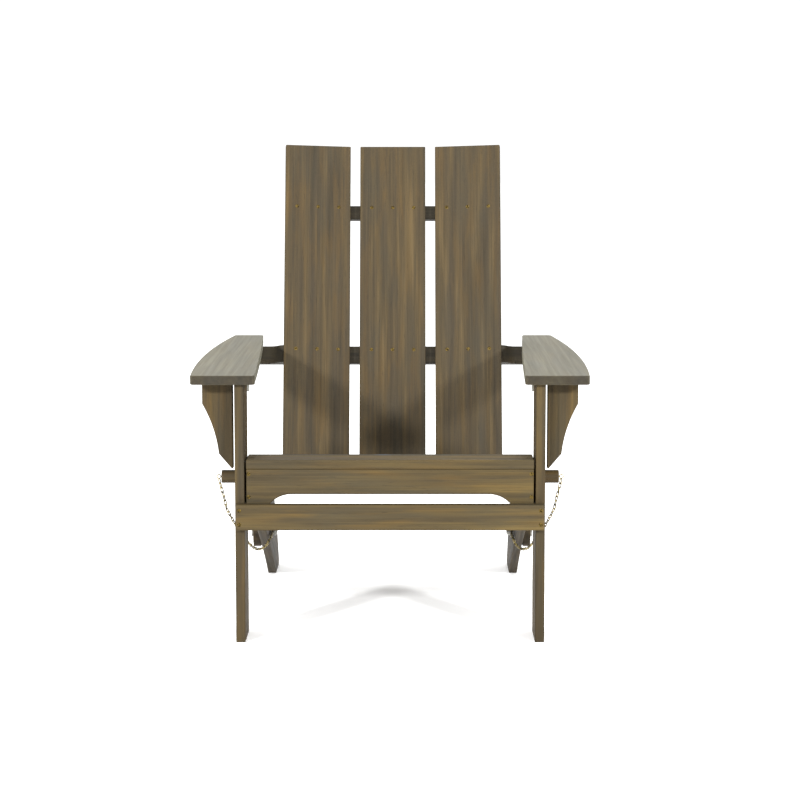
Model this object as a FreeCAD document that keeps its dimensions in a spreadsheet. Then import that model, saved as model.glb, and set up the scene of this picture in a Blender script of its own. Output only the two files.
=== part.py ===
"""Folding garden armchair of the Adirondack kind, built of eased hardwood boards. Millimetres.

+X is to the right seen from in front of the chair, +Y runs to the rear and +Z up. Pieces are laid
out from the front face of the legs, and front_plane then moves each one so that the origin lies on
the floor under the middle of the chair. Right-hand pieces are drawn and left-hand pieces mirrored.

The fold: the back frame turns on pivot bolts in the stringers, the arms turn on butt hinges behind
the arm rail, and the legs turn on butt hinges under the arms. A lock pin through each leg and its
stringer holds the chair open.
"""
import FreeCAD, Part
import Sketcher
import math
import os
import re

Vector = FreeCAD.Vector
Placement = FreeCAD.Placement
Rotation = FreeCAD.Rotation

doc = FreeCAD.newDocument("adirondack_chair")
sheet = doc.addObject("Spreadsheet::Sheet", "sizes")
nodes = []

# Driving sizes in millimetres, or degrees where their note says so
SIZES = {
    # Whole chair
    "front_plane": -408,  # front face of the legs, from the middle of the chair
    "board_thick": 18,  # thickness of every board but the arms and cheeks
    "ease": 2,  # rounding of the boards' edges
    "body_gap": 0.4,  # gap between boards that move on each other

    # Legs and front stretcher
    "leg_inner": 275.6,  # inner face of a leg, from the middle
    "leg_deep": 92,  # leg, front to rear
    "leg_high": 495.8,  # leg, floor to top
    "stretcher_inset": 2,  # stretcher's end short of the leg's outer face
    "stretcher_low": 220,  # stretcher's lower edge above the floor
    "stretcher_wide": 49,  # stretcher, lower edge to upper edge
    "stretcher_screw_rise": 13.5,  # stretcher screws above and below its middle

    # Seat
    "side_gap": 2,  # gap between stringer and leg
    "stringer_deep": 68,  # depth of the stringer in front
    "seat_low": 334,  # underside of the front seat slat above the floor
    "stringer_flat": 74,  # rear end of the stringer's level top edge
    "stringer_hip_y": 575,  # end of the stringer's long upper curve, from the front
    "stringer_hip_z": 184,  # the same point above the floor
    "stringer_upper_bow": 3,  # rise of the long upper curve over its chord
    "stringer_lower_bow": 15.3,  # rise of the lower curve over its chord
    "foot_front": 634,  # front end of the stringer's foot
    "foot_rear": 722,  # rear end of the stringer's foot
    "heel_y": 735,  # stringer's rearmost point
    "heel_z": 11,  # height of the rearmost point
    "heel_bow": 3,  # rounding of the heel
    "hip_bow": 10,  # bow of the curve from hip to heel
    "seat_end_gap": 3.1,  # gap between a seat slat's end and the leg
    "seat_slat_wide": 72,  # seat slat, front to rear
    "seat_slat_gap": 8,  # gap between seat slats
    "seat_slat_first": 46,  # middle of the first sloping slat, along the curve
    "seat_screw_front": 23,  # front screw of the front slat, from its front edge
    "seat_screw_rear": 62,  # rear screw of the front slat, from its front edge
    "seat_screw_half": 20,  # screws of a sloping slat, from its middle
    "screw_stagger": 3,  # seat screws inside and apron screws outside the stringer's middle
    "apron_end_gap": 3.6,  # gap between the apron's end and the leg
    "apron_arch_rise": 20,  # rise of the apron's arch
    "apron_arch_shoulder": 85,  # level part of the arch from the apron's end
    "apron_arch_end": 43,  # arch at the apron's lower edge from the apron's end
    "apron_arch_bow": 5.2,  # bow of the arch's ends
    "apron_screw_top": 9,  # upper apron screw under the apron's top edge
    "apron_screw_low": 53,  # lower apron screw under the apron's top edge

    # Lock pins
    "pin_y": 46,  # lock pin's axis, from the legs' front face
    "pin_drop": 21,  # lock pin's axis under the stringer's top edge
    "pin_radius": 12.5,  # radius of the lock pin
    "pin_play": 0.3,  # radial play of the pin in its holes
    "pin_tip_gap": 0.5,  # drawn pin's tip outside the stringer
    "pin_long": 47.9,  # length of the lock pin
    "pin_round": 1.5,  # rounding of the pin's ends
    "eye_radius": 3.6,  # screw eye's ring, to the middle of the wire
    "eye_wire": 0.9,  # radius of the screw eye's wire
    "eye_shank": 9,  # screw eye's shank in the pin

    # Arms and their corbels
    "arm_thick": 17.5,  # thickness of an arm
    "arm_front": -15,  # arm's front edge, from the legs' front face
    "arm_rear": 757,  # arm's rear edge
    "arm_inner_over": 22.1,  # arm's inner edge in front, inside the leg's inner face
    "arm_rear_out": 12.9,  # arm's inner edge at the rear, outside the leg's inner face
    "arm_inner_bow": 2.5,  # bow of the arm's inner edge towards the middle
    "arm_outer_over": 17.5,  # arm's outer edge in front, outside the corbel
    "arm_rear_wide": 63.5,  # arm's width at the rear
    "arm_outer_bow": 17.5,  # outward bow of the arm's outer edge
    "arm_corner": 8,  # corner radius of an arm
    "corbel_back": 36,  # corbel's front face, from the legs' front face
    "corbel_gap": 5.4,  # gap between corbel and leg
    "corbel_wide": 58.5,  # corbel's width at the top
    "corbel_upright": 42.2,  # straight upper part of the corbel's outer edge
    "corbel_knee_x": 27.5,  # corbel's knee, from its inner edge
    "corbel_knee_rise": 32.2,  # corbel's knee above its tip
    "corbel_tip_gap": 0.3,  # gap between the corbel's tip and the lock pin
    "corbel_bow": 5.2,  # hollow of the corbel's outer edge
    "bracket_wide": 24,  # angle bracket's width
    "bracket_leg": 24,  # angle bracket's leg
    "bracket_thick": 2,  # angle bracket's thickness
    "bracket_hole": 15,  # angle bracket's holes from its corner
    "bracket_hole_half": 6.5,  # angle bracket's holes from its middle

    # Back frame. Its own axes: X across, Y rearward from the centre slat's front face and Z up the slat
    "back_foot_y": 622,  # origin of the back frame, from the legs' front face
    "back_foot_z": 272,  # origin of the back frame above the floor
    "recline": 16.5,  # lean of the back frame, in degrees
    "slat_side_gap": 17.79,  # gap between a side slat and its stringer
    "slat_low": -90,  # lower end of the back slats
    "slat_high": 687.3,  # upper end of the back slats
    "slat_gap": 21.3,  # gap between back slats
    "slat_twist": 6.7,  # turn of each side slat, outer edge forward, in degrees
    "slat_screw_edge": 26,  # outer screws from the slat's edges
    "upper_rail_low": 524.5,  # lower edge of the upper rail
    "upper_rail_wide": 31,  # upper rail, lower edge to upper edge
    "upper_rail_screw": 22.5,  # upper rail's screws above its lower edge
    "arm_rail_drop": 5.76,  # upper edge of the arm rail under the hinge pins
    "arm_rail_wide": 38.5,  # arm rail, lower edge to upper edge
    "arm_rail_screw": 28,  # arm rail's screws above its lower edge
    "arm_rail_end_gap": 2,  # arm rail's end inside the arm's outer edge
    "arm_rail_neck_in": 5.6,  # start of the arm rail's ends, inside the leg's inner face
    "arm_rail_end_thick": 19.7,  # thickness of the arm rail's ends
    "arm_rail_swing_bow": 2,  # bow of the curves into the arm rail's ends
    "arm_rail_chamfer": 6,  # chamfer under the front of the arm rail's ends
    "lower_rail_low": -84,  # lower edge of the lower rail
    "lower_rail_wide": 36,  # lower rail, lower edge to upper edge
    "cheek_gap": 1,  # gap between cheek and stringer
    "cheek_thick": 16,  # thickness of a cheek
    "cheek_radius": 30,  # half a cheek's width
    "cheek_end": 20,  # middle of a cheek's rear end behind the slats' front face
    "cheek_screw_half": 9,  # cheek screws from that middle

    # Pivot bolts
    "pivot_y": 446,  # pivot bolt, from the legs' front face
    "pivot_z": 128,  # pivot bolt above the floor
    "bolt_radius": 4,  # pivot bolt's radius
    "bolt_play": 0.1,  # radial play round the pivot bolt
    "bolt_head_radius": 9,  # radius of the pivot bolt's head
    "bolt_head_high": 4,  # height of the pivot bolt's head
    "bolt_head_gap": 0.3,  # gap between bolt head and cheek
    "washer_radius": 9,  # washer's radius
    "washer_thick": 1.5,  # washer's thickness
    "nut_radius": 7.5,  # pivot nut across its corners, halved
    "nut_high": 6,  # height of the pivot nut
    "nut_stand": 5,  # room for the chain's end ring between washer and nut
    "bolt_end": 2,  # bolt's end beyond the nut
    "end_ring_radius": 6.3,  # chain's end ring, to the middle of the wire
    "end_ring_wire": 1.3,  # radius of the end ring's wire

    # Butt hinges. A leaf's own axes: X along the pin, Y away from it
    "hinge_wide": 26,  # hinge's width
    "hinge_leaf": 22,  # leaf's edge from the pin
    "hinge_thick": 1.5,  # leaf's thickness
    "knuckle_radius": 3,  # radius of the knuckles
    "knuckle_gap": 0.3,  # gap between knuckles
    "leaf_gap": 0.4,  # gap between a leaf and the other leaf's knuckles
    "hinge_pin_radius": 1.5,  # radius of the hinge's pin
    "hinge_pin_play": 0.05,  # radial play of the hinge's pin
    "hinge_hole": 13,  # leaf's screw holes from the pin
    "hinge_hole_half": 7,  # leaf's screw holes from its middle
    "rear_hinge_out": 39.4,  # middle of a rear hinge, outside the leg's inner face

    # Screws
    "screw_play": 0.05,  # radial play of a screw in its bore
    "screw_long": 32,  # wood screw's length
    "screw_radius": 2,  # wood screw's radius
    "screw_head_radius": 3.9,  # wood screw's head radius
    "screw_head_high": 2.6,  # wood screw's head height
    "screw_sunk": 0.8,  # wood screw's head under the surface
    "small_screw_long": 12,  # hinge screw's length
    "small_screw_radius": 1.4,  # hinge screw's radius
    "small_screw_head_radius": 2.6,  # hinge screw's head radius
    "small_screw_head_high": 1.2,  # hinge screw's head height
    "small_screw_sunk": 0.05,  # hinge screw's head under the leaf's face
    "recess_wide": 1,  # width of the cross recess in a screw head
    "recess_deep": 1,  # depth of the cross recess

    # Chains between lock pins and pivot bolts
    "chain_radius": 2.2,  # chain, as a round cord of the same width
}

# Sizes that follow from the driving ones
FITTED = {
    "seat_half": "leg_inner - seat_end_gap",
    "stringer_low": "seat_low - stringer_deep",
    "apron_half": "leg_inner - apron_end_gap",
    "apron_arch_flat": "apron_half - apron_arch_shoulder",
    "apron_arch_half": "apron_half - apron_arch_end",
    "pin_z": "seat_low - pin_drop",
    "corbel_long": "leg_high + body_gap - pin_z - pin_radius - corbel_tip_gap",
    "corbel_knee_z": "corbel_long - corbel_knee_rise",
    "arm_inner_front": "leg_inner - arm_inner_over",
    "arm_inner_rear": "leg_inner + arm_rear_out",
    "arm_outer_front": "leg_inner + board_thick + corbel_gap + corbel_wide + arm_outer_over",
    "arm_outer_rear": "arm_inner_rear + arm_rear_wide",
    "slat_span": "leg_inner - side_gap - board_thick - slat_side_gap",
    "slat_wide": "(slat_span - slat_gap) / (1 / 2 + cos(slat_twist))",
    "slat_screw_half": "slat_wide / 2 - slat_screw_edge",
    "rear_hinge_x": "leg_inner + rear_hinge_out",
    "rear_pin_z": "leg_high + body_gap - knuckle_radius - back_foot_z",
    "rear_pin_n": "2 * board_thick + knuckle_radius",
    "rear_pin_s": "(rear_pin_z + rear_pin_n * sin(recline)) / cos(recline)",
    "arm_rail_low": "rear_pin_s - arm_rail_drop - arm_rail_wide",
    "arm_rail_half": "arm_outer_rear - arm_rail_end_gap",
    "arm_rail_neck": "leg_inner - arm_rail_neck_in",
}

for row, (alias, number) in enumerate(SIZES.items(), start=1):
    sheet.set(f"A{row}", alias.replace("_", " "))
    sheet.set(f"B{row}", str(number))
    sheet.setAlias(f"B{row}", alias)
doc.recompute()


def formula(text):
    """A formula of size names as an expression on the sheet."""
    def expand(word):
        if word[0] in FITTED:
            return f"({formula(FITTED[word[0]])})"
        return f"sizes.{word[0]}" if word[0] in SIZES else word[0]
    return re.sub(r"[a-z]\w*", expand, text)


def value(text):
    """The number that a formula of size names gives."""
    return float(sheet.evalExpression(formula(text)))


def bind(thing, path, text):
    """Tie one property of an object to a formula of size names."""
    thing.setExpression(path, formula(text))


def keep(thing, label):
    """Name a finished sub-part, whose label becomes its node name."""
    thing.Label = label
    nodes.append(thing)
    return thing


# Boards

def sketch_on(body, role, offset):
    """An empty sketch parallel to one of the body's origin planes."""
    sketch = body.newObject("Sketcher::SketchObject", "Outline")
    plane = [feature for feature in body.Origin.OriginFeatures if feature.Role == role][0]
    sketch.AttachmentSupport = [(plane, "")]
    sketch.MapMode = "FlatFace"
    bind(sketch, "AttachmentOffset.Base.z", offset)
    return sketch


def constrain(sketch, kind, places, text):
    """Add a dimension whose value is a formula."""
    number = sketch.addConstraint(Sketcher.Constraint(kind, *places, value(text)))
    sketch.setExpression(f"Constraints[{number}]", formula(text))


def draw_outline(sketch, corners):
    """Draw a closed outline, anticlockwise, from (across, up, bow) formulas.

    bow is how far the side to the next corner stands out from its chord, and "0" means straight.
    """
    points = [Vector(value(across), value(up), 0) for across, up, bow in corners]
    starts = []
    ends = []
    for index, (across, up, bow) in enumerate(corners):
        here = points[index]
        there = points[(index + 1) % len(points)]
        if bow == "0":
            side = sketch.addGeometry(Part.LineSegment(here, there))
            starts.append((side, 1))
            ends.append((side, 2))
            continue
        outward = Vector(there.y - here.y, here.x - there.x, 0).normalize()
        middle = (here + there) * 0.5 + outward * value(bow)
        side = sketch.addGeometry(Part.Arc(here, middle, there))
        first = 1 if sketch.getPoint(side, 1).distanceToPoint(here) < 1e-6 else 2
        starts.append((side, first))
        ends.append((side, 3 - first))
        next_across, next_up, _ = corners[(index + 1) % len(corners)]
        run = f"(({next_across}) - ({across}))"
        rise = f"(({next_up}) - ({up}))"
        chord = f"sqrt({run}^2 + {rise}^2)"
        offset = f"((({bow})^2 - {chord}^2 / 4) / (2 * ({bow})) / {chord})"
        if abs(there.y - here.y) > abs(there.x - here.x):
            constrain(sketch, "DistanceX", [-1, 1, side, 3], f"({across}) + {run} / 2 + {rise} * {offset}")
        else:
            constrain(sketch, "DistanceY", [-1, 1, side, 3], f"({up}) + {rise} / 2 - {run} * {offset}")
    for index, (across, up, bow) in enumerate(corners):
        sketch.addConstraint(Sketcher.Constraint("Coincident", *ends[index - 1], *starts[index]))
        constrain(sketch, "DistanceX", [-1, 1, *starts[index]], across)
        constrain(sketch, "DistanceY", [-1, 1, *starts[index]], up)


def rectangle(left, low, right, high):
    """The outline of a rectangle between four formulas."""
    return [(left, low, "0"), (right, low, "0"), (right, high, "0"), (left, high, "0")]


def board(label, role, corners, start, thick, ease="ease"):
    """A board padded from an outline, from start to start + thick, with eased edges."""
    body = doc.addObject("PartDesign::Body", label)
    body.Label = label
    offset = f"-(({start}) + ({thick}))" if role == "XZ_Plane" else start
    sketch = sketch_on(body, role, offset)
    draw_outline(sketch, corners)
    pad = body.newObject("PartDesign::Pad", "Board")
    pad.Profile = sketch
    bind(pad, "Length", thick)
    if ease != "0":
        doc.recompute()
        fillet = body.newObject("PartDesign::Fillet", "Ease")
        fillet.Base = (pad, ["Edge1"])
        fillet.UseAllEdges = True
        bind(fillet, "Radius", ease)
    return body


def drill(body, across, up, radius, start):
    """Drill a round hole along X right through a body that lies outside start."""
    sketch = sketch_on(body, "YZ_Plane", start)
    middle = Vector(value(across), value(up), 0)
    circle = sketch.addGeometry(Part.Circle(middle, Vector(0, 0, 1), value(radius)))
    constrain(sketch, "DistanceX", [-1, 1, circle, 3], across)
    constrain(sketch, "DistanceY", [-1, 1, circle, 3], up)
    constrain(sketch, "Radius", [circle], radius)
    hole = body.newObject("PartDesign::Pocket", "Hole")
    hole.Profile = sketch
    hole.Type = "ThroughAll"
    hole.Reversed = True
    return body


# Solids of revolution and simple hardware

def cylinder(label, radius, long, axis, place):
    """A cylinder of one length along an axis ("X", "Y" or "Z") from a place of three formulas."""
    solid = doc.addObject("Part::Cylinder", label)
    turn = {"X": Rotation(Vector(0, 1, 0), 90), "Y": Rotation(Vector(-1, 0, 0), 90), "Z": Rotation()}
    solid.Placement = Placement(Vector(), turn[axis])
    bind(solid, "Radius", radius)
    bind(solid, "Height", long)
    put(solid, place)
    return solid


def cone(label, low_radius, high_radius, long, place):
    """An upright cone from a place of three formulas."""
    solid = doc.addObject("Part::Cone", label)
    bind(solid, "Radius1", low_radius)
    bind(solid, "Radius2", high_radius)
    bind(solid, "Height", long)
    put(solid, place)
    return solid


def box(label, lengths, place):
    """A box of three lengths from a place, all formulas."""
    solid = doc.addObject("Part::Box", label)
    for name, text in zip(["Length", "Width", "Height"], lengths):
        bind(solid, name, text)
    put(solid, place)
    return solid


def put(thing, place):
    """Tie an object's place to three formulas."""
    for axis, text in zip("xyz", place):
        bind(thing, f"Placement.Base.{axis}", text)


def fuse(label, pieces):
    """One solid out of several."""
    solid = doc.addObject("Part::MultiFuse", label)
    solid.Shapes = pieces
    return solid


def cut(label, base, tool):
    """One solid less another."""
    solid = doc.addObject("Part::Cut", label)
    solid.Base = base
    solid.Tool = tool
    return solid


def group(label, pieces):
    """Several solids that stay separate."""
    compound = doc.addObject("Part::Compound", label)
    compound.Links = pieces
    return compound


TURNS = {
    "up": Rotation(),
    "down": Rotation(Vector(1, 0, 0), 180),
    "front": Rotation(Vector(1, 0, 0), 90),
    "rear": Rotation(Vector(-1, 0, 0), 90),
    "right": Rotation(Vector(0, 1, 0), 90),
    "left": Rotation(Vector(0, -1, 0), 90),
}


def copies(label, template, spots):
    """Copies of a template, each at (place, turn). turn names where its +Z points, or is a slope formula."""
    links = []
    for place, turn in spots:
        link = doc.addObject("App::Link", label + "_copy")
        link.LinkedObject = template
        if turn in TURNS:
            link.Placement = Placement(Vector(), TURNS[turn])
        else:
            link.Placement = Placement(Vector(), Rotation(Vector(-1, 0, 0), 10))
            bind(link, "Placement.Rotation.Angle", turn)
        put(link, place)
        links.append(link)
    return group(label, links)


def both_sides(spots):
    """The same spots on the right and on the left."""
    swap = {"right": "left", "left": "right"}
    left = [((f"-({x})", y, z), swap.get(turn, turn)) for (x, y, z), turn in spots]
    return spots + left


# Where finished pieces stand

def stand(thing, label):
    """Finish a piece laid out from the legs' front face."""
    bind(thing, "Placement.Base.y", "front_plane")
    return keep(thing, label)


def lean(thing, label):
    """Finish a piece laid out on the back frame's own axes."""
    thing.Placement = Placement(Vector(), Rotation(Vector(-1, 0, 0), 10))
    bind(thing, "Placement.Rotation.Angle", "recline")
    bind(thing, "Placement.Base.y", "front_plane + back_foot_y")
    bind(thing, "Placement.Base.z", "back_foot_z")
    return keep(thing, label)


def mirror(thing, label):
    """Finish the left-hand copy of a right-hand piece."""
    copy = doc.addObject("Part::Mirroring", label)
    copy.Source = thing
    copy.Normal = (1, 0, 0)
    return keep(copy, label)


# Screw patterns: z = 0 is the surface the screw goes into, and the head is at the top

def screw_pair(prefix):
    """A countersunk screw and the bore that takes it."""
    long, radius = prefix + "_long", prefix + "_radius"
    head, high, sunk = prefix + "_head_radius", prefix + "_head_high", prefix + "_sunk"
    tip = f"(2 * {radius})"
    neck = f"-({sunk} + {high})"
    solid = fuse(prefix + "_blank", [
        cone(prefix + "_head", radius, head, high, ("0", "0", neck)),
        cylinder(prefix + "_shank", radius, f"{long} - {tip} + {neck}", "Z", ("0", "0", f"-{long} + {tip}")),
        cone(prefix + "_tip", f"{radius} / 5", radius, tip, ("0", "0", f"-{long}")),
    ])
    slot_place = f"-{sunk} - recess_deep"
    cross = fuse(prefix + "_cross", [
        box(prefix + "_slot_a", [head, "recess_wide", "recess_deep"],
            (f"-{head} / 2", "-recess_wide / 2", slot_place)),
        box(prefix + "_slot_b", ["recess_wide", head, "recess_deep"],
            ("-recess_wide / 2", f"-{head} / 2", slot_place)),
    ])
    bore = fuse(prefix + "_bore", [
        cone(prefix + "_sink", f"{radius} + screw_play", f"{head} + screw_play", high, ("0", "0", neck)),
        cylinder(prefix + "_mouth", f"{head} + screw_play", f"{sunk} + 1", "Z", ("0", "0", f"-{sunk}")),
        cylinder(prefix + "_way", f"{radius} + screw_play", f"{long} + screw_play + {neck}", "Z",
                 ("0", "0", f"-{long} - screw_play")),
    ])
    return cut(prefix + "_solid", solid, cross), bore


screw, screw_bore = screw_pair("screw")
small_screw, small_bore = screw_pair("small_screw")

# Legs and stretcher

STRINGER_OUTER = "(leg_inner - side_gap)"
STRINGER_INNER = f"({STRINGER_OUTER} - board_thick)"
STRINGER_MIDDLE = f"({STRINGER_OUTER} - board_thick / 2)"
LEG_MIDDLE = "(leg_inner + board_thick / 2)"
ARM_LOW = "(leg_high + body_gap)"
FRONT_AXIS_Y = "(leg_deep + knuckle_radius)"
FRONT_AXIS_Z = f"({ARM_LOW} - knuckle_radius)"

leg_board = board("leg_board", "YZ_Plane", rectangle("0", "0", "leg_deep", "leg_high"),
                  "leg_inner", "board_thick")
drill(leg_board, "pin_y", "pin_z", "pin_radius + pin_play", "leg_inner")

stretcher_half = "(leg_inner + board_thick - stretcher_inset)"
stretcher_board = board("stretcher_board", "XZ_Plane",
                        rectangle(f"-{stretcher_half}", "stretcher_low",
                                  stretcher_half, "stretcher_low + stretcher_wide"),
                        "-board_thick", "board_thick")
stretcher_spots = both_sides([
    ((LEG_MIDDLE, "-board_thick",
      f"stretcher_low + stretcher_wide / 2 {sign} stretcher_screw_rise"), "front")
    for sign in "+-"
])
leg_leaf_spots = both_sides([((LEG_MIDDLE, FRONT_AXIS_Y, FRONT_AXIS_Z), "rear")])
leg_small_spots = both_sides([
    ((f"{LEG_MIDDLE} {sign} hinge_hole_half", "leg_deep + hinge_thick",
      f"{FRONT_AXIS_Z} - hinge_hole"), "rear")
    for sign in "+-"
])
stretcher_bores = copies("stretcher_bores", screw_bore, stretcher_spots)
leg_small_bores = copies("leg_small_bores", small_bore, leg_small_spots)
leg_bores = group("leg_bores", [stretcher_bores, leg_small_bores])
leg_right = stand(cut("leg_right_cut", leg_board, leg_bores), "leg_right")
mirror(leg_right, "leg_left")
stand(cut("front_stretcher_cut", stretcher_board, stretcher_bores), "front_stretcher")
stand(copies("stretcher_screw", screw, stretcher_spots), "stretcher_screws")

# Seat: stringers, apron, level front slat and sloping slats on the stringers' upper curve

stringer_board = board("stringer_board", "YZ_Plane", [
    ("board_thick", "stringer_low", "-stringer_lower_bow"),
    ("foot_front", "0", "0"),
    ("foot_rear", "0", "heel_bow"),
    ("heel_y", "heel_z", "hip_bow"),
    ("stringer_hip_y", "stringer_hip_z", "stringer_upper_bow"),
    ("stringer_flat", "seat_low", "0"),
    ("board_thick", "seat_low", "0"),
], STRINGER_INNER, "board_thick")
drill(stringer_board, "pin_y", "pin_z", "pin_radius + pin_play", STRINGER_INNER)
drill(stringer_board, "pivot_y", "pivot_z", "bolt_radius + bolt_play", STRINGER_INNER)

apron_low = "stringer_low"
arch_high = "stringer_low + apron_arch_rise"
apron_board = board("apron_board", "XZ_Plane", [
    ("apron_arch_half", apron_low, "0"),
    ("apron_half", apron_low, "0"),
    ("apron_half", "seat_low", "0"),
    ("-apron_half", "seat_low", "0"),
    ("-apron_half", apron_low, "0"),
    ("-apron_arch_half", apron_low, "-apron_arch_bow"),
    ("-apron_arch_flat", arch_high, "0"),
    ("apron_arch_flat", arch_high, "-apron_arch_bow"),
], "0", "board_thick")
apron_spots = both_sides([
    ((f"{STRINGER_MIDDLE} + screw_stagger", "0", f"seat_low - {drop}"), "front")
    for drop in ["apron_screw_top", "apron_screw_low"]
])
apron_bores = copies("apron_bores", screw_bore, apron_spots)

# Middle of the upper curve's circle, and the slope of the curve where the sloping slats begin
curve_dy = "(stringer_hip_y - stringer_flat)"
curve_dz = "(seat_low - stringer_hip_z)"
curve_chord = f"sqrt({curve_dy}^2 + {curve_dz}^2)"
curve_radius = f"(({curve_chord}^2 / 4 + stringer_upper_bow^2) / (2 * stringer_upper_bow))"
curve_start = f"((atan({curve_dz} / {curve_dy}) - asin({curve_chord} / (2 * {curve_radius}))) / 1 deg)"
seat_top = "seat_low + board_thick"
slat_spots = []
front_slat_spots = []
for place in ["seat_screw_front", "seat_screw_rear"]:
    front_slat_spots.append(((f"{STRINGER_MIDDLE} - screw_stagger", place, seat_top), "up"))
sloping_slats = []
for number in range(6):
    along = f"(seat_slat_first + {number} * (seat_slat_wide + seat_slat_gap))"
    slope = f"({curve_start} + {along} / {curve_radius} * 180 / pi)"
    middle_y = f"(stringer_flat + {curve_radius} * (sin({slope}) - sin({curve_start})))"
    middle_z = f"(seat_low + {curve_radius} * (cos({slope}) - cos({curve_start})))"
    slat = board(f"seat_slat_{number + 1}_board", "XY_Plane",
                 rectangle("-seat_half", "-seat_slat_wide / 2", "seat_half", "seat_slat_wide / 2"),
                 "0", "board_thick")
    slat.Placement = Placement(Vector(), Rotation(Vector(-1, 0, 0), 10))
    bind(slat, "Placement.Rotation.Angle", slope)
    put(slat, ("0", middle_y, middle_z))
    sloping_slats.append(slat)
    for sign in "+-":
        screw_y = f"{middle_y} {sign} seat_screw_half * cos({slope}) + board_thick * sin({slope})"
        other = "-" if sign == "+" else "+"
        screw_z = f"{middle_z} {other} seat_screw_half * sin({slope}) + board_thick * cos({slope})"
        slat_spots.append(((f"{STRINGER_MIDDLE} - screw_stagger", screw_y, screw_z), slope))
seat_spots = both_sides(front_slat_spots + slat_spots)
seat_bores = copies("seat_bores", screw_bore, seat_spots)
front_slat_board = board("front_slat_board", "XY_Plane",
                         rectangle("-seat_half", "0", "seat_half", "seat_slat_wide"),
                         "seat_low", "board_thick")
stringer_bores = group("stringer_bores", [apron_bores, seat_bores])
stringer_right = stand(cut("stringer_right_cut", stringer_board, stringer_bores), "stringer_right")
mirror(stringer_right, "stringer_left")
stand(cut("apron_cut", apron_board, apron_bores), "apron")
stand(copies("apron_screw", screw, apron_spots), "apron_screws")
stand(cut("front_seat_slat_cut", front_slat_board, seat_bores), "front_seat_slat")
for number, slat in enumerate(sloping_slats, 1):
    stand(cut(f"seat_slat_{number}_cut", slat, seat_bores), f"seat_slat_{number}")
stand(copies("seat_screw", screw, seat_spots), "seat_slat_screws")

# Arms, corbels and their angle brackets

CORBEL_INNER = "(leg_inner + board_thick + corbel_gap)"
CORBEL_REAR = "(corbel_back + board_thick)"
arm_board = board("arm_board", "XY_Plane", [
    ("arm_inner_front", "arm_front", "0"),
    ("arm_outer_front", "arm_front", "arm_outer_bow"),
    ("arm_outer_rear", "arm_rear", "0"),
    ("arm_inner_rear", "arm_rear", "arm_inner_bow"),
], ARM_LOW, "arm_thick", "0")
doc.recompute()


def upright(edge):
    """Whether an edge of the arm stands on end."""
    return abs(edge.Vertexes[0].Z - edge.Vertexes[-1].Z) > 1


arm_blank = arm_board.Tip
corner_names = [f"Edge{number}" for number, edge in enumerate(arm_blank.Shape.Edges, 1) if upright(edge)]
arm_corners = arm_board.newObject("PartDesign::Fillet", "Corners")
arm_corners.Base = (arm_blank, corner_names)
bind(arm_corners, "Radius", "arm_corner")
doc.recompute()
arm_ease = arm_board.newObject("PartDesign::Fillet", "Ease")
arm_ease.Base = (arm_corners, ["Edge1"])
arm_ease.UseAllEdges = True
bind(arm_ease, "Radius", "ease")

corbel_board = board("corbel_board", "XZ_Plane", [
    (CORBEL_INNER, f"{ARM_LOW} - corbel_long", "0"),
    (f"{CORBEL_INNER} + corbel_knee_x", f"{ARM_LOW} - corbel_knee_z", "-corbel_bow"),
    (f"{CORBEL_INNER} + corbel_wide", f"{ARM_LOW} - corbel_upright", "0"),
    (f"{CORBEL_INNER} + corbel_wide", ARM_LOW, "0"),
    (CORBEL_INNER, ARM_LOW, "0"),
], "corbel_back", "board_thick")
BRACKET_MIDDLE = f"({CORBEL_INNER} + corbel_wide / 2)"
bracket_blank = board("bracket_blank", "YZ_Plane", [
    (CORBEL_REAR, f"{ARM_LOW} - bracket_leg", "0"),
    (f"{CORBEL_REAR} + bracket_thick", f"{ARM_LOW} - bracket_leg", "0"),
    (f"{CORBEL_REAR} + bracket_thick", f"{ARM_LOW} - bracket_thick", "0"),
    (f"{CORBEL_REAR} + bracket_leg", f"{ARM_LOW} - bracket_thick", "0"),
    (f"{CORBEL_REAR} + bracket_leg", ARM_LOW, "0"),
    (CORBEL_REAR, ARM_LOW, "0"),
], f"{BRACKET_MIDDLE} - bracket_wide / 2", "bracket_wide", "0")
bracket_spots = []
for sign in "+-":
    across = f"{BRACKET_MIDDLE} {sign} bracket_hole_half"
    bracket_spots.append(((across, f"{CORBEL_REAR} + bracket_thick", f"{ARM_LOW} - bracket_hole"), "rear"))
    bracket_spots.append(((across, f"{CORBEL_REAR} + bracket_hole", f"{ARM_LOW} - bracket_thick"), "down"))
bracket_spots = both_sides(bracket_spots)
bracket_bores = copies("bracket_bores", small_bore, bracket_spots)

RAIL_REAR = "(2 * board_thick)"
REAR_AXIS_N = "rear_pin_n"
REAR_AXIS_S = "rear_pin_s"
REAR_AXIS_Y = f"(back_foot_y + {REAR_AXIS_S} * sin(recline) + {REAR_AXIS_N} * cos(recline))"
arm_leaf_spots = both_sides([
    ((LEG_MIDDLE, FRONT_AXIS_Y, FRONT_AXIS_Z), "up"),
    (("rear_hinge_x", REAR_AXIS_Y, FRONT_AXIS_Z), "up"),
])
arm_small_spots = []
for across, axis_y in [(LEG_MIDDLE, FRONT_AXIS_Y), ("rear_hinge_x", REAR_AXIS_Y)]:
    for sign in "+-":
        hole_x = f"{across} {sign} hinge_hole_half"
        arm_small_spots.append(((hole_x, f"{axis_y} + hinge_hole", f"{ARM_LOW} - hinge_thick"), "down"))
arm_small_spots = both_sides(arm_small_spots)
arm_small_bores = copies("arm_small_bores", small_bore, arm_small_spots)
arm_bores = group("arm_bores", [bracket_bores, arm_small_bores])
arm_right = stand(cut("arm_right_cut", arm_board, arm_bores), "arm_right")
mirror(arm_right, "arm_left")
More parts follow.
